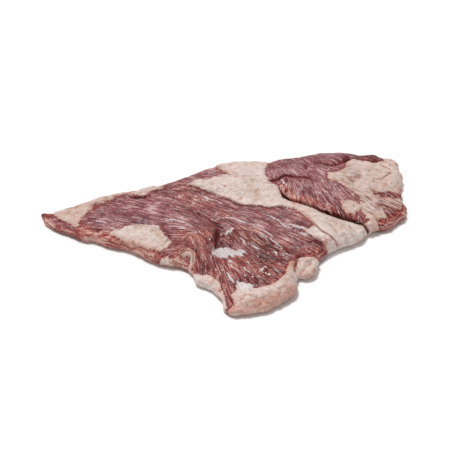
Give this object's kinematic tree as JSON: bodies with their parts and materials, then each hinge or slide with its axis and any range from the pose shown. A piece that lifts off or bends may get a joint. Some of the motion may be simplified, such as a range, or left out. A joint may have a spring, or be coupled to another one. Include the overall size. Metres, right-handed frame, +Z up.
{
  "type": "pork secreto",
  "caption": "Raw flat fan-shaped cut of marbled pork with a narrow tip, a broad layered end and a rounded front lobe.",
  "frame": {"origin": "centre of the bounding box on the underside, at the level of the surface the cut lies on", "axes": "+X along the length towards the broad end, +Y towards the back edge, +Z up out of the upper face"},
  "size_m": [0.282, 0.1888, 0.0215],
  "materials": {
    "pork_meat": "satin"
  },
  "bodies": {
    "root": {"pork_secreto": "pork_meat"}
  },
  "joints": []
}
